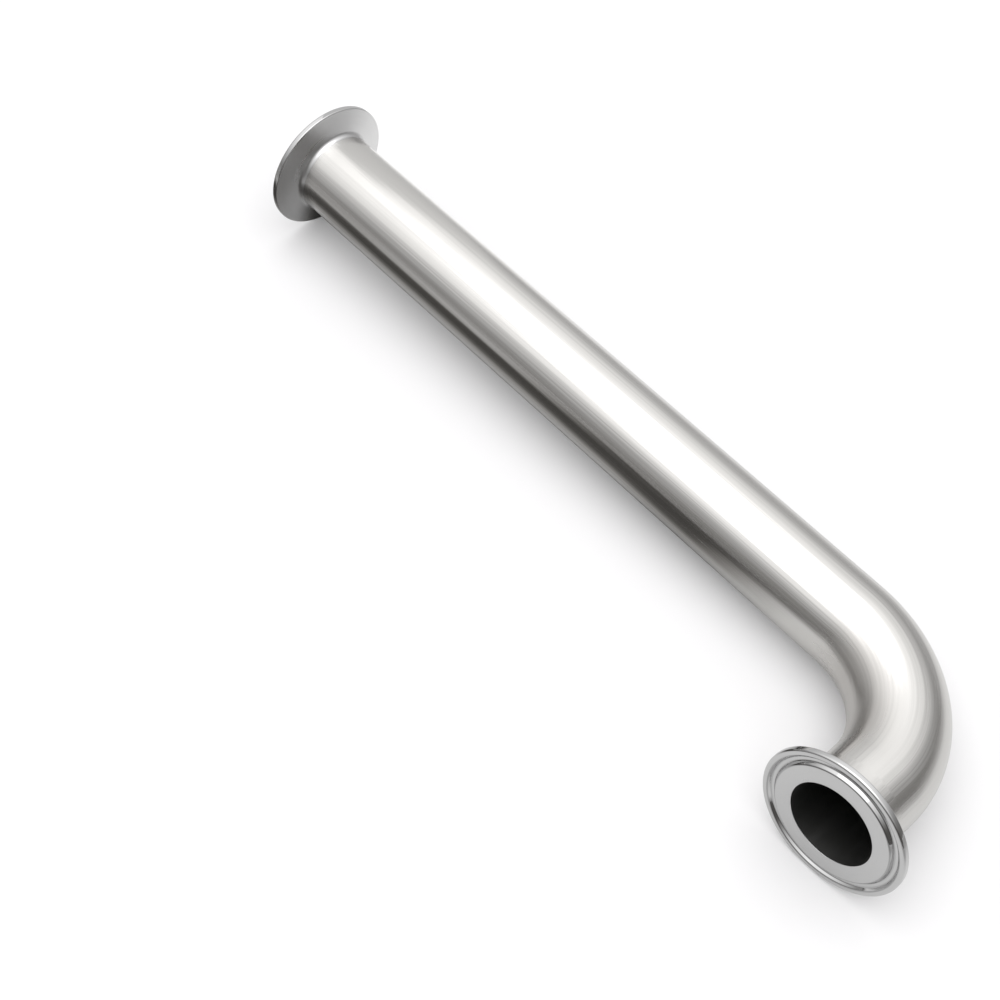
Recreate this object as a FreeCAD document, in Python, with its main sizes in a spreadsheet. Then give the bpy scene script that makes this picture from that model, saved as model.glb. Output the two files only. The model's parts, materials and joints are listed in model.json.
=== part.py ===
import FreeCAD, Part
import math
import os

import Sketcher
from FreeCAD import Placement, Rotation, Vector

# Sanitary elbow: a thin stainless tube bent through a right angle, with one long and one short leg,
# and a turned clamp ferrule butt-welded to each end. Sizes are in millimetres and degrees.
#
# In the elbow's own frame the axes of both legs cross at the origin. The long leg runs along +X,
# the short leg along +Y. The finished elbow is then laid down as it comes to rest on a table:
# on the rims of both ferrules and on the underside of the bend.

doc = FreeCAD.newDocument("sanitary_elbow")

SIZES = [
    ("tube_od", 31.8, "outside diameter of the tube"),
    ("tube_wall", 1.5, "wall of the tube"),
    ("bend_radius", 41.5, "radius of the bend, at the middle of the tube"),
    ("long_leg", 304.8, "from the crossing of the axes to the long leg's sealing face"),
    ("short_tangent", 7.8, "straight tube between the bend and the short leg's ferrule"),
    ("ferrule_length", 12.7, "from the sealing face to the weld"),
    ("flange_od", 50.5, "outside diameter of the clamp flange"),
    ("rim_width", 2.4, "from the sealing face to the back edge of the rim"),
    ("bevel_angle", 20.0, "slope of the flange's back, which the clamp draws in on"),
    ("root_round", 2.2, "fillet where the flange's back meets the neck"),
    ("groove_inset", 3.4, "from the rim to the middle of the gasket groove"),
    ("groove_width", 2.9, "width of the gasket groove at its lips"),
    ("groove_floor", 1.4, "width of the gasket groove's flat floor"),
    ("groove_depth", 1.35, "depth of the gasket groove below the sealing face"),
    ("land_drop", 0.3, "how far the land outside the groove lies below the sealing face"),
]

sheet = doc.addObject("Spreadsheet::Sheet", "sizes")
for row, (alias, number, meaning) in enumerate(SIZES, start=1):
    sheet.set(f"A{row}", meaning)
    sheet.set(f"B{row}", str(number))
    sheet.setAlias(f"B{row}", alias)
doc.recompute()


def size(alias):
    return float(sheet.get(alias))


def origin_plane(body, role):
    for feature in body.Origin.OriginFeatures:
        if feature.Role == role:
            return feature
    raise ValueError(f"no {role} in {body.Label}")


def new_sketch(body, name, role):
    sketch = body.newObject("Sketcher::SketchObject", name)
    sketch.AttachmentSupport = [(origin_plane(body, role), "")]
    sketch.MapMode = "FlatFace"
    return sketch


def dimension(sketch, formula, *constraint):
    """Add a dimension to a sketch and tie it to a formula of the sheet's sizes."""
    index = sketch.addConstraint(Sketcher.Constraint(*constraint))
    sketch.setExpression(f"Constraints[{index}]", formula)


# Sketcher's own numbers: the sketch's origin and horizontal axis, and a line's or circle's points.
AXES = -1
START, END, CENTRE = 1, 2, 3


# The bent tube

def draw_tube_section(sketch):
    for formula in ("sizes.tube_od / 2", "sizes.tube_od / 2 - sizes.tube_wall"):
        circle = sketch.addGeometry(Part.Circle(Vector(), Vector(0, 0, 1), size("tube_od") / 2))
        sketch.addConstraint(Sketcher.Constraint("Coincident", circle, CENTRE, AXES, START))
        dimension(sketch, formula, "Radius", circle, size("tube_od") / 2)


def draw_bend_axis(sketch):
    """A construction line beside the section. It points down, so that the tube turns to the short leg."""
    reach = size("bend_radius")
    line = sketch.addGeometry(Part.LineSegment(Vector(reach, reach, 0), Vector(reach, -reach, 0)), True)
    sketch.addConstraint(Sketcher.Constraint("Symmetric", line, START, line, END, AXES))
    dimension(sketch, "sizes.bend_radius", "DistanceX", AXES, START, line, START, reach)
    dimension(sketch, "2 * sizes.bend_radius", "DistanceY", line, END, line, START, 2 * reach)


def make_bent_tube():
    body = doc.addObject("PartDesign::Body", "bent_tube")

    section = new_sketch(body, "long_leg_section", "YZ_Plane")
    section.setExpression("AttachmentOffset.Base.z", "sizes.bend_radius")
    draw_tube_section(section)
    draw_bend_axis(section)

    long_tangent = body.newObject("PartDesign::Pad", "long_tangent")
    long_tangent.Profile = section
    long_tangent.setExpression("Length", "sizes.long_leg - sizes.bend_radius - sizes.ferrule_length")

    bend = body.newObject("PartDesign::Revolution", "bend")
    bend.Profile = section
    bend.ReferenceAxis = (section, ["Axis0"])
    bend.Angle = 90

    short_section = new_sketch(body, "short_leg_section", "XZ_Plane")
    short_section.setExpression("AttachmentOffset.Base.z", "-sizes.bend_radius")
    draw_tube_section(short_section)

    short_tangent = body.newObject("PartDesign::Pad", "short_tangent")
    short_tangent.Profile = short_section
    short_tangent.Reversed = True
    short_tangent.setExpression("Length", "sizes.short_tangent")
    doc.recompute()
    return body


# The ferrules
# Each is turned about its own Z axis, with the sealing face at Z = 0 and the weld below it.

def draw_turned_profile(sketch):
    """Half of the ferrule's section, beside the axis that it is turned about."""
    neck = size("tube_od") / 2
    bore = neck - size("tube_wall")
    rim = size("flange_od") / 2
    weld = -size("ferrule_length")
    land = -size("land_drop")
    bottom = -size("groove_depth")
    middle = rim - size("groove_inset")
    half_mouth = size("groove_width") / 2
    half_floor = size("groove_floor") / 2
    slope = math.radians(size("bevel_angle"))
    root_round = size("root_round")
    root_x = neck + root_round
    root_y = -size("rim_width") - (rim - root_x) * math.tan(slope) - root_round / math.cos(slope)

    root_circle = Part.Circle(Vector(root_x, root_y, 0), Vector(0, 0, 1), root_round)
    root = sketch.addGeometry(Part.ArcOfCircle(root_circle, math.pi / 2 + slope, math.pi))
    root_curve = sketch.Geometry[root]
    outline = [
        Vector(bore, weld, 0),
        Vector(bore, 0, 0),
        Vector(middle - half_mouth, 0, 0),
        Vector(middle - half_floor, bottom, 0),
        Vector(middle + half_floor, bottom, 0),
        Vector(middle + half_mouth, land, 0),
        Vector(rim, land, 0),
        Vector(rim, -size("rim_width"), 0),
        root_curve.StartPoint,
    ]
    lines = [sketch.addGeometry(Part.LineSegment(*ends)) for ends in zip(outline, outline[1:])]
    bore_wall, face, inner_wall, groove_bottom, outer_wall, outer_land, rim_wall, bevel = lines
    neck_wall = sketch.addGeometry(Part.LineSegment(root_curve.EndPoint, Vector(neck, weld, 0)))
    weld_end = sketch.addGeometry(Part.LineSegment(Vector(neck, weld, 0), outline[0]))

    for first, last in list(zip(lines, lines[1:])) + [(neck_wall, weld_end), (weld_end, bore_wall)]:
        sketch.addConstraint(Sketcher.Constraint("Coincident", first, END, last, START))
    sketch.addConstraint(Sketcher.Constraint("Tangent", bevel, END, root, START))
    sketch.addConstraint(Sketcher.Constraint("Tangent", root, END, neck_wall, START))
    for line in (bore_wall, rim_wall, neck_wall):
        sketch.addConstraint(Sketcher.Constraint("Vertical", line))
    for line in (face, groove_bottom, outer_land, weld_end):
        sketch.addConstraint(Sketcher.Constraint("Horizontal", line))
    sketch.addConstraint(Sketcher.Constraint("PointOnObject", face, START, AXES))

    middle_radius = "sizes.flange_od / 2 - sizes.groove_inset"
    for formula, line, radius in (
        ("sizes.tube_od / 2 - sizes.tube_wall", face, bore),
        ("sizes.tube_od / 2", weld_end, neck),
        ("sizes.flange_od / 2", rim_wall, rim),
        (f"{middle_radius} - sizes.groove_width / 2", inner_wall, middle - half_mouth),
        (f"{middle_radius} - sizes.groove_floor / 2", groove_bottom, middle - half_floor),
        (f"{middle_radius} + sizes.groove_floor / 2", outer_wall, middle + half_floor),
        (f"{middle_radius} + sizes.groove_width / 2", outer_land, middle + half_mouth),
    ):
        dimension(sketch, formula, "DistanceX", AXES, START, line, START, radius)
    for alias, line in (
        ("ferrule_length", weld_end),
        ("groove_depth", groove_bottom),
        ("land_drop", outer_land),
        ("rim_width", bevel),
    ):
        dimension(sketch, f"sizes.{alias}", "DistanceY", line, START, AXES, START, size(alias))
    dimension(sketch, "sizes.bevel_angle * 1 deg", "Angle", weld_end, END, bevel, END, slope)
    dimension(sketch, "sizes.root_round", "Radius", root, root_round)


def make_ferrule(name):
    body = doc.addObject("PartDesign::Body", name)
    profile = new_sketch(body, f"{name}_profile", "XZ_Plane")
    draw_turned_profile(profile)
    turning = body.newObject("PartDesign::Revolution", f"{name}_turning")
    turning.Profile = profile
    turning.ReferenceAxis = (profile, ["V_Axis"])
    turning.Angle = 360
    doc.recompute()
    return body


# The elbow at rest

def short_leg():
    """From the crossing of the axes to the short leg's sealing face."""
    return size("bend_radius") + size("short_tangent") + size("ferrule_length")


def floor_normal():
    """The upward normal of the table, in the elbow's own frame, once all three contacts touch.

    Each flange touches with the back edge of its rim, and the bend with its underside.
    long_rise and short_rise are the slopes of the two legs, as the sine of their angle.
    """
    rim = size("flange_od") / 2
    long_reach = size("long_leg") - size("rim_width")
    short_reach = short_leg() - size("rim_width")
    long_rise = 0.0
    short_rise = 0.0
    for _ in range(60):
        swing = math.hypot(long_rise, short_rise) - long_rise - short_rise
        bend_drop = size("tube_od") / 2 + size("bend_radius") * swing
        long_rise = (rim * math.sqrt(1 - long_rise ** 2) - bend_drop) / long_reach
        short_rise = (rim * math.sqrt(1 - short_rise ** 2) - bend_drop) / short_reach
    return Vector(long_rise, short_rise, math.sqrt(1 - long_rise ** 2 - short_rise ** 2))


def resting_rotation():
    """Turns the elbow so that the table is level and the long leg points along +X, seen from above."""
    up = floor_normal()
    side = up.cross(Vector(1, 0, 0)).normalize()
    forward = side.cross(up)
    return Rotation(forward, side, up, "ZXY").inverted()


def lay_down(pieces):
    """Place the pieces as they rest, with the origin under the middle of the whole elbow."""
    turn = Placement(Vector(), resting_rotation())
    for piece, seat in pieces:
        piece.Placement = turn.multiply(seat)
    doc.recompute()
    whole = Part.makeCompound([piece.Shape for piece, seat in pieces]).optimalBoundingBox(False, False)
    shift = Placement(Vector(-whole.Center.x, -whole.Center.y, -whole.ZMin), Rotation())
    for piece, seat in pieces:
        piece.Placement = shift.multiply(piece.Placement)
    doc.recompute()


bent_tube = make_bent_tube()
long_leg_ferrule = make_ferrule("long_leg_ferrule")
short_leg_ferrule = make_ferrule("short_leg_ferrule")

facing_long = Rotation(Vector(0, 0, 1), Vector(1, 0, 0))
facing_short = Rotation(Vector(0, 0, 1), Vector(0, 1, 0))
lay_down([
    (bent_tube, Placement()),
    (long_leg_ferrule, Placement(Vector(size("long_leg"), 0, 0), facing_long)),
    (short_leg_ferrule, Placement(Vector(0, short_leg(), 0), facing_short)),
])

for item in doc.Objects:
    if "Invalid" in item.State or "Error" in item.State:
        raise RuntimeError(f"{item.Label} did not compute: {item.State}")

os.makedirs("parts", exist_ok=True)
for node in (bent_tube, long_leg_ferrule, short_leg_ferrule):
    if node.Shape.isNull() or not node.Shape.isValid():
        raise RuntimeError(f"{node.Label} has no valid shape")
    node.Shape.exportStep(f"parts/{node.Label}.step")
    print(f"{node.Label}: {node.Shape.Volume:.1f} mm3")
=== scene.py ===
import json
import math

import bpy
from mathutils import Matrix, Vector


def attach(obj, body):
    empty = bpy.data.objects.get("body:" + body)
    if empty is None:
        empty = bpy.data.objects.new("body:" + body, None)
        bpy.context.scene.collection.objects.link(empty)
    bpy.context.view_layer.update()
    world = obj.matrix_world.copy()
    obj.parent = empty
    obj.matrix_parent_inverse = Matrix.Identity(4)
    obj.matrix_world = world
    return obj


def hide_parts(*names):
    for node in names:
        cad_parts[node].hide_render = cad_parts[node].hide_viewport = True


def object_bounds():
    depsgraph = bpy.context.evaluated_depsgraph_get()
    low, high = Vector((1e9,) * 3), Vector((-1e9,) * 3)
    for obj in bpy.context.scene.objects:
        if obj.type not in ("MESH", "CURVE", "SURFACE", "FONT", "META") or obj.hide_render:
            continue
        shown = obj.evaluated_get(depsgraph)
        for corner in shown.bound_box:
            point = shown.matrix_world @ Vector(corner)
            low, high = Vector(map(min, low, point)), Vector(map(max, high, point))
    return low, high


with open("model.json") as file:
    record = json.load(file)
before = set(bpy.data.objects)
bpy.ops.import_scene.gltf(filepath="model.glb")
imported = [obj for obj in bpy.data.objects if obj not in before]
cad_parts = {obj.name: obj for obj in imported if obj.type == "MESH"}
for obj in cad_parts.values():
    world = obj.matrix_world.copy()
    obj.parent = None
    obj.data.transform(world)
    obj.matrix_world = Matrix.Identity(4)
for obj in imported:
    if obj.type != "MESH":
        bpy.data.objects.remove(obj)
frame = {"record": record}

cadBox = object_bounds()
mounts = {mount["name"]: mount for mount in frame["record"]["mounts"]}


# Where the elbow lies, read from the bores of its two legs.

def legLine(boreName):
    mount = mounts[boreName]
    outward = Vector(mount["axis"]).normalized()
    halfLength = mount["dims"]["length_mm"] / 2000     # in metres
    return {
        "outward": outward,
        "face": Vector(mount["pos_m"]) + outward * halfLength,
        "bendStart": Vector(mount["pos_m"]) - outward * halfLength,
        "boreRadius": mount["dims"]["r_mm"] / 1000,
    }


longLeg = legLine("long_leg_bore")
shortLeg = legLine("short_leg_bore")
bendRadius = (longLeg["bendStart"] - shortLeg["bendStart"]).dot(longLeg["outward"])
bendCentre = longLeg["bendStart"] + shortLeg["outward"] * bendRadius
upright = longLeg["outward"].cross(shortLeg["outward"]).normalized()  # square to the plane of the bend
longLeg["across"] = -shortLeg["outward"]
shortLeg["across"] = -longLeg["outward"]
print(f"elbow read from the frame: bend radius {bendRadius * 1000:.2f} mm")


# Every piece is a closed skin of rings. A ring has a centre, a radius, the direction that its turning
# starts from, how far along the skin it lies, how bright its finish is (-1 dull, 0 satin, 1 polished),
# how much painted shade darkens its colour, how far it lies in the bend, and the material from it to
# the next ring.

outside, bore, neck = 0, 1, 2     # the places of the materials on a piece
sharpAngle = math.radians(32)     # an edge that turns by more than this stays crisp

# The inner side of the bend is harder to polish, so it is duller; its colour is also darkened and browned
# there, a painted shade.

innerBendSettings = {
    "dull": 1.4,                  # taken off the polish
    "paintedShade": 0.22,                # painted shade: how far towards the finish's painted shade colour
    "reach": (0.12, 0.85),        # from the top of the tube, 0, to the inside of the bend, 1
    "fadeIn": (-0.012, 0.020),    # along the tube, from where the bend starts
    "fadeOut": (-0.012, 0.007),   # along the tube, from where the bend ends
}


def smoothStep(value, start, end):
    share = min(max((value - start) / (end - start), 0), 1)
    return share * share * (3 - 2 * share)


def mixed(first, second, share):
    return first + (second - first) * share


def ringSkin(name, rings, steps):
    verts = []
    lay = []
    polish = []
    paintedShade = []
    for ring in rings:
        for step in range(steps):
            turn = 2 * math.pi * step / steps
            outward = ring["across"] * math.cos(turn) + upright * math.sin(turn)
            verts.append(ring["centre"] + outward * ring["radius"])
            lay.extend((ring["along"], math.cos(turn), math.sin(turn)))
            # painted shade and a duller finish on the inside of the bend
            inner = smoothStep(-math.cos(turn), *innerBendSettings["reach"]) * ring["inBend"]
            polish.append(ring["polish"] - innerBendSettings["dull"] * inner)
            paintedShade.append(ring["paintedShade"] + innerBendSettings["paintedShade"] * inner)
    faces = []
    materials = []
    for index in range(len(rings)):
        materials.extend([rings[index]["material"]] * steps)
        here = index * steps
        there = (index + 1) % len(rings) * steps
        for step in range(steps):
            nextStep = (step + 1) % steps
            faces.append((here + step, here + nextStep, there + nextStep, there + step))
    mesh = bpy.data.meshes.new(name)
    mesh.from_pydata(verts, [], faces)
    mesh.attributes.new("lay", "FLOAT_VECTOR", "POINT").data.foreach_set("vector", lay)
    mesh.attributes.new("polish", "FLOAT", "POINT").data.foreach_set("value", polish)
    mesh.attributes.new("paintedShade", "FLOAT", "POINT").data.foreach_set("value", paintedShade)
    mesh.polygons.foreach_set("use_smooth", [True] * len(faces))
    mesh.polygons.foreach_set("material_index", materials)
    mesh.set_sharp_from_angle(angle=sharpAngle)
    mesh.update()
    piece = bpy.data.objects.new(name, mesh)
    bpy.context.scene.collection.objects.link(piece)
    print(f"{name}: {len(faces) * 2} triangles")
    return piece


# The bent tube

tubeSettings = {
    "wall": 0.0015,
    "ferruleLength": 0.0127,   # the tube starts where each ferrule ends
    "ringSpacing": 0.004,      # along the straight stretches
    "bendRings": 80,
    "steps": 192,              # round the tube
}


def straightStretch(leg, settings):
    return (leg["face"] - leg["bendStart"]).length - settings["ferruleLength"]


def tubeLine(settings):
    # the middle of the tube from the long leg's weld to the short leg's: point, side and distance along
    stations = []
    longStretch = straightStretch(longLeg, settings)
    shortStretch = straightStretch(shortLeg, settings)
    longRings = round(longStretch / settings["ringSpacing"])
    for index in range(longRings):
        ahead = longStretch * (1 - index / longRings)
        along = longStretch - ahead
        stations.append((longLeg["bendStart"] + longLeg["outward"] * ahead, longLeg["across"], along))
    for index in range(settings["bendRings"] + 1):
        swing = math.pi / 2 * index / settings["bendRings"]
        away = longLeg["across"] * math.cos(swing) + shortLeg["across"] * math.sin(swing)
        stations.append((bendCentre + away * bendRadius, away, longStretch + swing * bendRadius))
    shortRings = round(shortStretch / settings["ringSpacing"])
    for index in range(1, shortRings + 1):
        ahead = shortStretch * index / shortRings
        along = longStretch + math.pi / 2 * bendRadius + ahead
        stations.append((shortLeg["bendStart"] + shortLeg["outward"] * ahead, shortLeg["across"], along))
    return stations


def shareInBend(along, settings):
    # 0 on the straight stretches and 1 in the bend
    bendFrom = straightStretch(longLeg, settings)
    bendTo = bendFrom + math.pi / 2 * bendRadius
    entered = smoothStep(along - bendFrom, *innerBendSettings["fadeIn"])
    passed = smoothStep(along - bendTo, *innerBendSettings["fadeOut"])
    return entered * (1 - passed)


def makeTube(settings):
    stations = tubeLine(settings)
    boreRadius = longLeg["boreRadius"]
    rings = []
    for radius, material, walk in (
        (boreRadius + settings["wall"], outside, stations),
        (boreRadius, bore, stations[::-1]),
    ):
        for centre, across, along in walk:
            rings.append({
                "centre": centre,
                "across": across,
                "radius": radius,
                "along": along,
                "polish": 0,
                "paintedShade": 0,
                "inBend": shareInBend(along, settings),
                "material": material,
            })
    return ringSkin("bent_tube_skin", rings, settings["steps"])


# The clamp ferrules

ferruleSettings = {
    "length": tubeSettings["ferruleLength"],
    "neckRadius": longLeg["boreRadius"] + tubeSettings["wall"],
    "neckSlack": 0.00001,      # a ring this close to the neck's radius is on the neck
    "flangeRadius": mounts["short_leg_rim"]["dims"]["r_mm"] / 1000,
    "rimWidth": 0.0024,
    "bevel": math.radians(20),
    "rootRound": 0.0022,
    "grooveInset": 0.0034,     # from the rim to the middle of the gasket groove
    "grooveWidth": 0.0029,
    "grooveFloor": 0.0014,
    "grooveDepth": 0.00135,
    "landDrop": 0.0003,
    "boreEdge": 0.00015,
    "lipRound": 0.0006,
    "grooveRound": 0.0006,
    "rimRound": 0.0007,
    "backRound": 0.00035,
    "backEdge": 0.0006,        # the polish of the rim ends this far in on the back
    "backPolish": -0.5,
    "rootPolish": -0.4,
    "lipPaintedShade": 0.50,           # painted shade, towards the finish's painted shade colour
    "groovePaintedShade": 0.35,
    "arcSteps": 8,             # of each rounding
    "steps": 224,              # round the ferrule
}


def roundedOutline(corners, arcSteps):
    # takes the corners of a closed outline, each with its rounding, and gives its points with their
    # polish and their painted shade, which is on the rounding alone
    outline = []
    for index, (here, rounding, polish, paintedShade) in enumerate(corners):
        towardsLast = (corners[index - 1][0] - here).normalized()
        towardsNext = (corners[(index + 1) % len(corners)][0] - here).normalized()
        if rounding == 0:
            outline.append((here, polish, paintedShade))
            continue
        halfAngle = towardsLast.angle(towardsNext) / 2
        reach = rounding / math.tan(halfAngle)
        centre = here + (towardsLast + towardsNext).normalized() * rounding / math.sin(halfAngle)
        first = here + towardsLast * reach - centre
        last = here + towardsNext * reach - centre
        for step in range(arcSteps + 1):
            point = centre + first.slerp(last, step / arcSteps).normalized() * rounding
            outline.append((point, polish, paintedShade if 0 < step < arcSteps else 0))
    return outline


def ferruleOutline(s):
    # each corner's radius and depth below the sealing face, its rounding, polish and painted shade
    grooveRadius = s["flangeRadius"] - s["grooveInset"]
    halfLips = s["grooveWidth"] / 2
    halfFloor = s["grooveFloor"] / 2
    rootDepth = s["rimWidth"] + (s["flangeRadius"] - s["neckRadius"]) * math.tan(s["bevel"])
    backEdge = Vector((
        s["flangeRadius"] - s["backEdge"],
        s["rimWidth"] + s["backEdge"] * math.tan(s["bevel"]),
    ))
    corners = [
        (Vector((longLeg["boreRadius"], s["length"])), 0, 0, 0),
        (Vector((longLeg["boreRadius"], 0)), s["boreEdge"], 0, 0),
        # the groove's lips and the corners of its floor carry painted shade
        (Vector((grooveRadius - halfLips, 0)), s["lipRound"], 1, s["lipPaintedShade"]),
        (Vector((grooveRadius - halfFloor, s["grooveDepth"])), s["grooveRound"], 1, s["groovePaintedShade"]),
        (Vector((grooveRadius + halfFloor, s["grooveDepth"])), s["grooveRound"], 1, s["groovePaintedShade"]),
        (Vector((grooveRadius + halfLips, s["landDrop"])), s["lipRound"], 1, s["lipPaintedShade"]),
        (Vector((s["flangeRadius"], s["landDrop"])), s["rimRound"], 1, 0),
        (Vector((s["flangeRadius"], s["rimWidth"])), s["backRound"], 1, 0),
        (backEdge, 0, s["backPolish"], 0),
        (Vector((s["neckRadius"], rootDepth)), s["rootRound"], s["rootPolish"], 0),
        (Vector((s["neckRadius"], s["length"])), 0, 0, 0),
    ]
    return roundedOutline(corners, s["arcSteps"])


def makeFerrule(name, leg, weldAlong, onwards, settings):
    # the outline starts inside the weld, so its first band is the bore; the lay runs on from the tube's at
    # the weld, forward where onwards is 1 and back where it is -1
    outline = ferruleOutline(settings)
    neckReach = settings["neckRadius"] + settings["neckSlack"]
    left = sum((outline[index][0] - outline[index - 1][0]).length for index in range(1, len(outline)))
    rings = []
    lastPoint = outline[0][0]
    for point, polish, paintedShade in outline:
        left -= (point - lastPoint).length
        lastPoint = point
        onNeck = point.y > settings["rimWidth"] and point.x < neckReach
        rings.append({
            "centre": leg["face"] - leg["outward"] * point.y,
            "across": leg["across"],
            "radius": point.x,
            "along": weldAlong + onwards * left,
            "polish": polish,
            "paintedShade": paintedShade,
            "inBend": 0,
            "material": bore if not rings else neck if onNeck else outside,
        })
    return ringSkin(name, rings, settings["steps"])


# Shared effects

def addNode(tree, kind, **values):
    node = tree.nodes.new(kind)
    for name, value in values.items():
        setattr(node, name, value)
    return node


def setInputs(node, values):
    for name, value in values.items():
        node.inputs[name].default_value = value


def newGroup(name, inputs, outputs):
    group = bpy.data.node_groups.new(name, "ShaderNodeTree")
    for socketName, kind, value in inputs:
        group.interface.new_socket(name=socketName, in_out="INPUT", socket_type=kind).default_value = value
    for socketName, kind in outputs:
        group.interface.new_socket(name=socketName, in_out="OUTPUT", socket_type=kind)
    return group, group.nodes.new("NodeGroupInput"), group.nodes.new("NodeGroupOutput")


# Fine lines left by the abrasive belt or the lathe tool, long one way and narrow the other, with broader
# streaks of brighter and duller finish and slow ripples of the surface.

brushedLaySettings = {
    "Lines": {"Scale": 1.0, "Detail": 3.0, "Roughness": 0.6},
    "Streaks": {"Scale": 0.16, "Detail": 2.0, "Roughness": 0.5},
    "Ripples": {"Scale": 0.11, "Detail": 3.0, "Roughness": 0.6},
}


def makeBrushedLay(settings):
    group, given, result = newGroup(
        "brushedLay",
        [("Lay", "NodeSocketVector", (0, 0, 0)), ("Stretch", "NodeSocketVector", (1, 1, 1))],
        [(effect, "NodeSocketFloat") for effect in settings],
    )
    stretched = addNode(group, "ShaderNodeVectorMath", operation="MULTIPLY")
    group.links.new(given.outputs["Lay"], stretched.inputs[0])
    group.links.new(given.outputs["Stretch"], stretched.inputs[1])
    for effect, grain in settings.items():
        noise = addNode(group, "ShaderNodeTexNoise", noise_dimensions="3D")
        setInputs(noise, grain)
        group.links.new(stretched.outputs["Vector"], noise.inputs["Vector"])
        group.links.new(noise.outputs["Fac"], result.inputs[effect])
    return group


# Soft smudges from handling, and a few hairline scratches that follow the lay.

handlingMarksSettings = {
    "smudge": {"Detail": 4.0, "Roughness": 0.55},
    "wander": {"Scale": 1.0, "Detail": 1.0, "Roughness": 0.5},
    "middle": 0.5,                   # a scratch runs where the wandering noise has this value,
    "hairline": 0.012,               # and reaches this far from it
    "scratched": (0.52, 0.66),       # scratches come in over this range of the smudges
}


def makeHandlingMarks(settings):
    group, given, result = newGroup(
        "handlingMarks",
        [
            ("Smudge Scale", "NodeSocketFloat", 40.0),
            ("Lay", "NodeSocketVector", (0, 0, 0)),
            ("Scratch Stretch", "NodeSocketVector", (1, 1, 1)),
        ],
        [("Smudges", "NodeSocketFloat"), ("Scratches", "NodeSocketFloat")],
    )
    place = addNode(group, "ShaderNodeTexCoord")
    smudge = addNode(group, "ShaderNodeTexNoise", noise_dimensions="3D")
    setInputs(smudge, settings["smudge"])
    stretched = addNode(group, "ShaderNodeVectorMath", operation="MULTIPLY")
    wander = addNode(group, "ShaderNodeTexNoise", noise_dimensions="3D")
    setInputs(wander, settings["wander"])
    hairline = addNode(group, "ShaderNodeMapRange", interpolation_type="SMOOTHSTEP")
    setInputs(hairline, {"From Min": 0.0, "From Max": settings["hairline"], "To Min": 1.0, "To Max": 0.0})
    fromMiddle = addNode(group, "ShaderNodeMath", operation="SUBTRACT")
    fromMiddle.inputs[1].default_value = settings["middle"]
    distance = addNode(group, "ShaderNodeMath", operation="ABSOLUTE")
    sparse = addNode(group, "ShaderNodeMapRange", interpolation_type="SMOOTHSTEP")
    setInputs(sparse, {"From Min": settings["scratched"][0], "From Max": settings["scratched"][1]})
    kept = addNode(group, "ShaderNodeMath", operation="MULTIPLY")
    group.links.new(place.outputs["Object"], smudge.inputs["Vector"])
    group.links.new(given.outputs["Smudge Scale"], smudge.inputs["Scale"])
    group.links.new(given.outputs["Lay"], stretched.inputs[0])
    group.links.new(given.outputs["Scratch Stretch"], stretched.inputs[1])
    group.links.new(stretched.outputs["Vector"], wander.inputs["Vector"])
    group.links.new(wander.outputs["Fac"], fromMiddle.inputs[0])
    group.links.new(fromMiddle.outputs["Value"], distance.inputs[0])
    group.links.new(distance.outputs["Value"], hairline.inputs["Value"])
    group.links.new(smudge.outputs["Fac"], sparse.inputs["Value"])
    group.links.new(hairline.outputs["Result"], kept.inputs[0])
    group.links.new(sparse.outputs["Result"], kept.inputs[1])
    group.links.new(smudge.outputs["Fac"], result.inputs["Smudges"])
    group.links.new(kept.outputs["Value"], result.inputs["Scratches"])
    return group


brushedLay = makeBrushedLay(brushedLaySettings)
handlingMarks = makeHandlingMarks(handlingMarksSettings)


# Finishes

satinTubeFinish = {
    "light": (0.672, 0.660, 0.646, 1),
    "dark": (0.597, 0.585, 0.571, 1),
    "paintedShadeColour": (0.30, 0.265, 0.235, 1),    # painted shade colour, on the inner side of the bend
    "layStretch": (25, 46, 46),                # lines run along the tube
    "lineDepth": 0.000004,
    "rippleDepth": 0.00015,
    "satinRoughness": 0.205,
    "polishRoughness": 0.12,
    "streakRoughness": 0.09,
    "smudgeScale": 45,
    "scratchStretch": (14, 13, 13),
}

turnedFerruleFinish = {
    "light": (0.587, 0.585, 0.588, 1),
    "dark": (0.529, 0.527, 0.530, 1),
    "paintedShadeColour": (0.18, 0.18, 0.18, 1),      # painted shade colour for the groove's lips and corners
    "layStretch": (5200, 3, 3),                # lines run round the ferrule
    "lineDepth": 0.000003,
    "rippleDepth": 0,
    "satinRoughness": 0.24,
    "polishRoughness": 0.08,
    "streakRoughness": 0.08,
    "smudgeScale": 90,
    "scratchStretch": (900, 2, 2),
}

# The bore: a dull finish, and colours darkened far below the steel's own, a painted shade for the dark
# inside of the tube.
dullBorePaintedShadeFinish = {
    "light": (0.23, 0.23, 0.226, 1),
    "dark": (0.17, 0.169, 0.165, 1),
    "paintedShadeColour": (0.20, 0.20, 0.197, 1),
    "layStretch": (25, 20, 20),
    "lineDepth": 0.000003,
    "rippleDepth": 0,
    "satinRoughness": 0.42,
    "polishRoughness": 0.42,
    "streakRoughness": 0.06,
    "smudgeScale": 60,
    "scratchStretch": (14, 13, 13),
}

# What the three finishes share.

steelSettings = {
    "linesInTone": 0.5,
    "smudgesInTone": 0.5,
    "streakRange": (0.3, 0.7),       # of the streaks' noise, from smooth to rough
    "scratchRoughness": 0.05,
}


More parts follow.
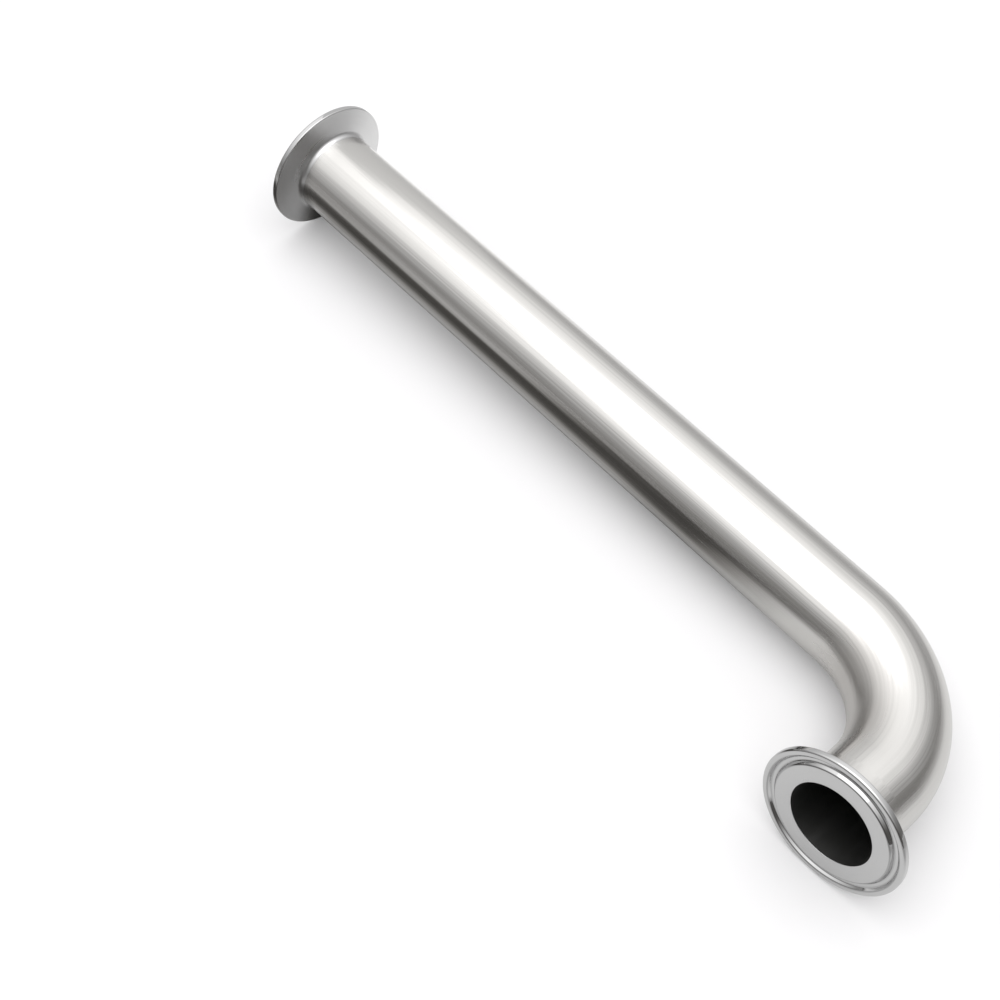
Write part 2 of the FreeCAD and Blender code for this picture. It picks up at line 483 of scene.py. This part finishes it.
def makeSteel(name, finish, shared):
    material = bpy.data.materials.new(name)
    material.use_nodes = True
    tree = material.node_tree
    tree.nodes.clear()
    output = addNode(tree, "ShaderNodeOutputMaterial")
    steel = addNode(tree, "ShaderNodeBsdfPrincipled")
    steel.inputs["Metallic"].default_value = 1.0

    layPlace = addNode(tree, "ShaderNodeAttribute", attribute_name="lay")
    polish = addNode(tree, "ShaderNodeAttribute", attribute_name="polish")
    lay = addNode(tree, "ShaderNodeGroup", node_tree=brushedLay)
    lay.inputs["Stretch"].default_value = finish["layStretch"]
    marks = addNode(tree, "ShaderNodeGroup", node_tree=handlingMarks)
    setInputs(marks, {"Smudge Scale": finish["smudgeScale"], "Scratch Stretch": finish["scratchStretch"]})
    tree.links.new(layPlace.outputs["Vector"], lay.inputs["Lay"])
    tree.links.new(layPlace.outputs["Vector"], marks.inputs["Lay"])

    tone = addNode(tree, "ShaderNodeMath", operation="MULTIPLY_ADD")
    tone.inputs[1].default_value = shared["linesInTone"]
    colour = addNode(tree, "ShaderNodeMix", data_type="RGBA")
    colour.inputs["A"].default_value = finish["dark"]
    colour.inputs["B"].default_value = finish["light"]
    smudges = addNode(tree, "ShaderNodeMath", operation="MULTIPLY")
    smudges.inputs[1].default_value = shared["smudgesInTone"]
    tree.links.new(marks.outputs["Smudges"], smudges.inputs[0])
    tree.links.new(lay.outputs["Lines"], tone.inputs[0])
    tree.links.new(smudges.outputs["Value"], tone.inputs[2])
    tree.links.new(tone.outputs["Value"], colour.inputs["Factor"])
    # painted shade: the colour is darkened towards the finish's painted shade colour where the skin asks
    # for it
    paintedShade = addNode(tree, "ShaderNodeAttribute", attribute_name="paintedShade")
    paintedShadeColour = addNode(tree, "ShaderNodeMix", data_type="RGBA")
    paintedShadeColour.inputs["B"].default_value = finish["paintedShadeColour"]
    tree.links.new(paintedShade.outputs["Fac"], paintedShadeColour.inputs["Factor"])
    tree.links.new(colour.outputs["Result"], paintedShadeColour.inputs["A"])
    tree.links.new(paintedShadeColour.outputs["Result"], steel.inputs["Base Color"])

    # a polish below 0 is duller than satin, so this range isn't clamped
    finishRoughness = addNode(tree, "ShaderNodeMapRange", clamp=False)
    setInputs(finishRoughness, {"To Min": finish["satinRoughness"], "To Max": finish["polishRoughness"]})
    streaks = addNode(tree, "ShaderNodeMapRange")
    setInputs(streaks, {
        "From Min": shared["streakRange"][0],
        "From Max": shared["streakRange"][1],
        "To Min": -finish["streakRoughness"] / 2,
        "To Max": finish["streakRoughness"] / 2,
    })
    roughness = addNode(tree, "ShaderNodeMath", operation="ADD")
    scratched = addNode(tree, "ShaderNodeMath", operation="MULTIPLY_ADD", use_clamp=True)
    scratched.inputs[1].default_value = shared["scratchRoughness"]
    tree.links.new(polish.outputs["Fac"], finishRoughness.inputs["Value"])
    tree.links.new(lay.outputs["Streaks"], streaks.inputs["Value"])
    tree.links.new(finishRoughness.outputs["Result"], roughness.inputs[0])
    tree.links.new(streaks.outputs["Result"], roughness.inputs[1])
    tree.links.new(marks.outputs["Scratches"], scratched.inputs[0])
    tree.links.new(roughness.outputs["Value"], scratched.inputs[2])
    tree.links.new(scratched.outputs["Value"], steel.inputs["Roughness"])

    lines = addNode(tree, "ShaderNodeBump")
    setInputs(lines, {"Strength": 1.0, "Distance": finish["lineDepth"]})
    tree.links.new(lay.outputs["Lines"], lines.inputs["Height"])
    ripples = addNode(tree, "ShaderNodeBump")
    setInputs(ripples, {"Strength": 1.0, "Distance": finish["rippleDepth"]})
    tree.links.new(lay.outputs["Ripples"], ripples.inputs["Height"])
    tree.links.new(ripples.outputs["Normal"], lines.inputs["Normal"])
    tree.links.new(lines.outputs["Normal"], steel.inputs["Normal"])
    tree.links.new(steel.outputs["BSDF"], output.inputs["Surface"])
    return material


satinTubeSteel = makeSteel("satinTubeSteel", satinTubeFinish, steelSettings)
turnedFerruleSteel = makeSteel("turnedFerruleSteel", turnedFerruleFinish, steelSettings)
dullBorePaintedShadeSteel = makeSteel("dullBorePaintedShadeSteel", dullBorePaintedShadeFinish, steelSettings)
print("finishes made: satin tube, turned ferrule, dull bore")


# Pieces

def placePiece(piece, steels, node):
    for steel in steels:
        piece.data.materials.append(steel)
    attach(piece, "root")
    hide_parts(node)


tubeSteels = [satinTubeSteel, dullBorePaintedShadeSteel]                          # outside, bore
ferruleSteels = [turnedFerruleSteel, dullBorePaintedShadeSteel, satinTubeSteel]   # outside, bore, neck
tubeEnd = tubeLine(tubeSettings)[-1][2]
placePiece(makeTube(tubeSettings), tubeSteels, "bent_tube")
for name, leg, weldAlong, onwards in (
    ("long_leg_ferrule", longLeg, 0, -1),
    ("short_leg_ferrule", shortLeg, tubeEnd, 1),
):
    ferrule = makeFerrule(f"{name}_turned", leg, weldAlong, onwards, ferruleSettings)
    placePiece(ferrule, ferruleSteels, name)
print("pieces placed: bent tube and two ferrules")


# Floor, light and camera

studioSettings = {
    "floorSize": 6.0,
    "floorColour": (0.775, 0.77, 0.777, 1),
    "floorLift": (0.085, 0.32),      # how much the floor glows where it is seen, near and far
    "liftDistance": (0.4, 1.6),
    "fillLight": 0.90,               # of the world, which shows as white all the same
}


def seenDirectly(tree):
    # 1 for the camera and for what metal and glass show of the background
    path = addNode(tree, "ShaderNodeLightPath")
    cameraOrGlossy = addNode(tree, "ShaderNodeMath", operation="MAXIMUM")
    seen = addNode(tree, "ShaderNodeMath", operation="MAXIMUM")
    tree.links.new(path.outputs["Is Camera Ray"], cameraOrGlossy.inputs[0])
    tree.links.new(path.outputs["Is Glossy Ray"], cameraOrGlossy.inputs[1])
    tree.links.new(cameraOrGlossy.outputs["Value"], seen.inputs[0])
    tree.links.new(path.outputs["Is Transmission Ray"], seen.inputs[1])
    return seen.outputs["Value"]


def makeFloor(settings):
    half = settings["floorSize"] / 2
    mesh = bpy.data.meshes.new("studio_floor")
    corners = [(-half, -half, 0), (half, -half, 0), (half, half, 0), (-half, half, 0)]
    mesh.from_pydata(corners, [], [(0, 1, 2, 3)])
    floor = bpy.data.objects.new("studio_floor", mesh)
    bpy.context.scene.collection.objects.link(floor)
    material = bpy.data.materials.new("paleFloor")
    material.use_nodes = True
    tree = material.node_tree
    paint = tree.nodes["Principled BSDF"]
    setInputs(paint, {
        "Base Color": settings["floorColour"],
        "Roughness": 1.0,
        "Specular IOR Level": 0.0,
        "Emission Color": (1, 1, 1, 1),
    })
    place = addNode(tree, "ShaderNodeNewGeometry")
    distance = addNode(tree, "ShaderNodeVectorMath", operation="LENGTH")
    liftByDistance = addNode(tree, "ShaderNodeMapRange", interpolation_type="SMOOTHSTEP")
    setInputs(liftByDistance, {
        "From Min": settings["liftDistance"][0],
        "From Max": settings["liftDistance"][1],
        "To Min": settings["floorLift"][0],
        "To Max": settings["floorLift"][1],
    })
    lift = addNode(tree, "ShaderNodeMath", operation="MULTIPLY")
    tree.links.new(place.outputs["Position"], distance.inputs[0])
    tree.links.new(distance.outputs["Value"], liftByDistance.inputs["Value"])
    tree.links.new(liftByDistance.outputs["Result"], lift.inputs[1])
    tree.links.new(seenDirectly(tree), lift.inputs[0])
    tree.links.new(lift.outputs["Value"], paint.inputs["Emission Strength"])
    mesh.materials.append(material)


def makeWorld(settings):
    world = bpy.data.worlds.new("studio")
    world.use_nodes = True
    tree = world.node_tree
    background = tree.nodes["Background"]
    background.inputs["Color"].default_value = (1, 1, 1, 1)
    shown = addNode(tree, "ShaderNodeMix", data_type="FLOAT")
    setInputs(shown, {"A": settings["fillLight"], "B": 1.0})
    tree.links.new(seenDirectly(tree), shown.inputs["Factor"])
    tree.links.new(shown.outputs["Result"], background.inputs["Strength"])
    bpy.context.scene.world = world


softboxSettings = {
    "radius": 0.53,
    "height": 0.85,
    "light": 1.48,                   # how bright its face is, where 1 is white
}


def makeSoftbox(settings):
    lamp = bpy.data.lights.new("softbox", "AREA")
    lamp.shape = "DISK"
    lamp.size = settings["radius"] * 2
    # the power that gives a disk's face that brightness: pi times its area
    lamp.energy = settings["light"] * math.pi * math.pi * settings["radius"] ** 2
    softbox = bpy.data.objects.new("softbox", lamp)
    softbox.location = (0, 0, settings["height"])
    softbox.visible_camera = False
    bpy.context.scene.collection.objects.link(softbox)


# Painted reflections that only the metal sees: a tent glowing like pale cloth round the set, a grey card
# on the table and a glowing board past the long leg's port. Their painted shades give the metal the soft
# grey and dark bands that a studio gives to bright metal; the card's dark part is painted shade between
# the legs and under the long one.

tentSettings = {
    "radius": 1.0,
    "topElevation": math.radians(58),
    "rings": 30,
    "steps": 72,
    "axis": (0.076, -0.038, 1),
    "ramp": (0.197, 1.02),           # how far up the axis the cloth grows brighter
    "topLight": 1.585,
    "horizonLight": 0.416,
    "horizonSide": (0.256, -0.189, 0),
    "leastHorizon": 0.1,
    "leastLight": 0.12,
    "lowBands": (                    # just above the table: change, side, narrowness, fading angles
        (-0.13, (-0.35, -0.94, 0), 2, 6, 18),
        (-0.27, (0.93, 0.37, 0), 2, 4, 15),
        (0.20, (0.60, 0.80, 0), 8, 3, 10),
    ),
}

cardSettings = {
    "half": 0.7,
    "lines": 30,                     # each way from the middle
    "crowding": 1.5,                 # how much closer together they are there
    "height": 0.0005,
    "near": 0.72,
    "open": 0.97,                    # beside the long leg, away from the short one
    "openAlong": (-0.03, 0.14),
    "openAcross": (0.02, 0.06),
    "far": 0.40,
    "farReach": (0.03, 0.15),
    "dark": 0.06,                    # painted shade, between the legs and under the long one
    "darkAlong": (-0.090, -0.030),
    "darkAcross": (-0.012, 0.020),
    "underLeg": (-0.015, -0.001),
    "underLegFrom": 0.01,            # the painted shade under the leg starts this far in from the elbow's box
    "wider": 0.003,                  # of both dark parts, near the bend
    "nearBend": (-0.03, 0.01),
    "lightAgain": 0.8,               # how far the dark is gone towards the long leg's port
    "lightAgainAlong": (0.03, 0.12),
    "lightAgainAcross": (0.050, 0.110),
}


def tentLight(direction, settings):
    horizon = settings["horizonLight"] + direction.dot(Vector(settings["horizonSide"]))
    rise = smoothStep(direction.dot(Vector(settings["axis"])), *settings["ramp"])
    light = mixed(max(horizon, settings["leastHorizon"]), settings["topLight"], rise)
    elevation = math.degrees(math.asin(direction.z))
    for change, side, narrowness, start, end in settings["lowBands"]:
        towards = max(direction.dot(Vector(side)), 0) ** narrowness
        light += change * towards * (1 - smoothStep(elevation, start, end))
    return max(light, settings["leastLight"])


def cardShade(x, y, settings):
    away = math.hypot(max(abs(x) - cadBox[1][0], 0), max(abs(y) - cadBox[1][1], 0))
    beside = smoothStep(x, *settings["openAlong"]) * smoothStep(-y, *settings["openAcross"])
    near = mixed(settings["near"], settings["open"], beside)
    shade = mixed(near, settings["far"], smoothStep(away, *settings["farReach"]))
    wider = settings["wider"] * (1 - smoothStep(x, *settings["nearBend"]))
    acrossDark = smoothStep(y + wider, *settings["darkAcross"])
    if y > cadBox[0][1] + settings["underLegFrom"]:
        acrossDark = max(acrossDark, 1 - smoothStep(y - wider, *settings["underLeg"]))
    darkness = smoothStep(x, *settings["darkAlong"]) * acrossDark
    lightAgain = smoothStep(x, *settings["lightAgainAlong"]) * smoothStep(y, *settings["lightAgainAcross"])
    darkness *= 1 - settings["lightAgain"] * lightAgain
    return mixed(shade, settings["dark"], darkness)


endBoardSettings = {
    "x": 0.205,
    "y": (-0.26, -0.05),
    "height": 0.16,
    "foot": 0.68,
    "top": 0.92,
}


# the painted reflections are warmer where their shade is dark
reflectedSettings = {
    "darkTint": (1.0, 0.955, 0.90, 1),
    "lightTint": (1.0, 1.0, 0.995, 1),
    "tintRise": 2.2,                 # the tint is light where the shade times this reaches 1
}


def makeReflected(name, verts, faces, shades, glows):
    # a painted reflection: a surface that only shows in reflections, where each point has its own painted
    # shade of grey
    black = (0, 0, 0, 1)
    mesh = bpy.data.meshes.new(name)
    mesh.from_pydata(verts, [], faces)
    mesh.attributes.new("shade", "FLOAT", "POINT").data.foreach_set("value", shades)
    surface = bpy.data.objects.new(name, mesh)
    bpy.context.scene.collection.objects.link(surface)
    surface.visible_camera = False
    surface.visible_diffuse = False
    surface.visible_transmission = False
    surface.visible_shadow = False
    material = bpy.data.materials.new(name)
    material.cycles.emission_sampling = "NONE"
    material.use_nodes = True
    tree = material.node_tree
    paint = tree.nodes["Principled BSDF"]
    setInputs(paint, {"Roughness": 1.0, "Specular IOR Level": 0.0})
    shade = addNode(tree, "ShaderNodeAttribute", attribute_name="shade")
    lightness = addNode(tree, "ShaderNodeMath", operation="MULTIPLY", use_clamp=True)
    lightness.inputs[1].default_value = reflectedSettings["tintRise"]
    tint = addNode(tree, "ShaderNodeMix", data_type="RGBA")
    setInputs(tint, {"A": reflectedSettings["darkTint"], "B": reflectedSettings["lightTint"]})
    tree.links.new(shade.outputs["Fac"], lightness.inputs[0])
    tree.links.new(lightness.outputs["Value"], tint.inputs["Factor"])
    if glows:
        paint.inputs["Base Color"].default_value = black
        tree.links.new(tint.outputs["Result"], paint.inputs["Emission Color"])
        tree.links.new(shade.outputs["Fac"], paint.inputs["Emission Strength"])
    else:
        colour = addNode(tree, "ShaderNodeMix", data_type="RGBA")
        colour.inputs["A"].default_value = black
        tree.links.new(shade.outputs["Fac"], colour.inputs["Factor"])
        tree.links.new(tint.outputs["Result"], colour.inputs["B"])
        tree.links.new(colour.outputs["Result"], paint.inputs["Base Color"])
    mesh.materials.append(material)


def gridFaces(columns, rows, closed):
    faces = []
    for row in range(rows - 1):
        for column in range(columns if closed else columns - 1):
            right = (column + 1) % columns
            here = row * columns
            faces.append((here + column, here + right, here + columns + right, here + columns + column))
    return faces


def makeTent(settings):
    verts = []
    shades = []
    for ring in range(settings["rings"] + 1):
        elevation = settings["topElevation"] * ring / settings["rings"]
        for step in range(settings["steps"]):
            azimuth = 2 * math.pi * step / settings["steps"]
            direction = Vector((
                math.cos(azimuth) * math.cos(elevation),
                math.sin(azimuth) * math.cos(elevation),
                math.sin(elevation),
            ))
            verts.append(direction * settings["radius"])
            shades.append(tentLight(direction, settings))
    faces = gridFaces(settings["steps"], settings["rings"] + 1, True)
    makeReflected("painted_reflection_tent", verts, faces, shades, True)


def makeCard(settings):
    lines = settings["lines"]
    places = []
    for line in range(-lines, lines + 1):
        reach = (abs(line) / lines) ** settings["crowding"]
        places.append(math.copysign(reach, line) * settings["half"])
    verts = []
    shades = []
    for y in places:
        for x in places:
            verts.append((x, y, settings["height"]))
            shades.append(cardShade(x, y, settings))
    faces = gridFaces(len(places), len(places), False)
    makeReflected("painted_reflection_card", verts, faces, shades, False)


def makeEndBoard(settings):
    # a glowing board whose painted reflection greys the end of the tube near that port
    verts = []
    shades = []
    for z, shade in ((0, settings["foot"]), (settings["height"], settings["top"])):
        for y in settings["y"]:
            verts.append((settings["x"], y, z))
            shades.append(shade)
    makeReflected("painted_reflection_board", verts, gridFaces(2, 2, False), shades, True)


cameraSettings = {
    "lens": 57.885,
    "sensorWidth": 36,
    "target": (0.01909, 0.02333, 0),
    "distance": 0.55836,
    "azimuth": math.radians(-135.26),
    "elevation": math.radians(56.228),
    "roll": math.radians(-2.806),
}


def makeCamera(settings):
    azimuth = settings["azimuth"]
    elevation = settings["elevation"]
    back = Vector((
        math.sin(azimuth) * math.cos(elevation),
        -math.cos(azimuth) * math.cos(elevation),
        math.sin(elevation),
    ))
    levelRight = (-back).cross(Vector((0, 0, 1))).normalized()
    levelDown = (-back).cross(levelRight)
    right = levelRight * math.cos(settings["roll"]) + levelDown * math.sin(settings["roll"])
    down = levelDown * math.cos(settings["roll"]) - levelRight * math.sin(settings["roll"])
    lens = bpy.data.cameras.new("camera")
    lens.lens = settings["lens"]
    lens.sensor_width = settings["sensorWidth"]
    camera = bpy.data.objects.new("camera", lens)
    place = Matrix((right, -down, back)).transposed().to_4x4()
    place.translation = Vector(settings["target"]) + back * settings["distance"]
    camera.matrix_world = place
    bpy.context.scene.collection.objects.link(camera)
    bpy.context.scene.camera = camera


makeFloor(studioSettings)
makeWorld(studioSettings)
makeSoftbox(softboxSettings)
makeTent(tentSettings)
makeCard(cardSettings)
makeEndBoard(endBoardSettings)
makeCamera(cameraSettings)
bpy.context.scene.view_settings.view_transform = "Standard"
print("floor, light and camera set")
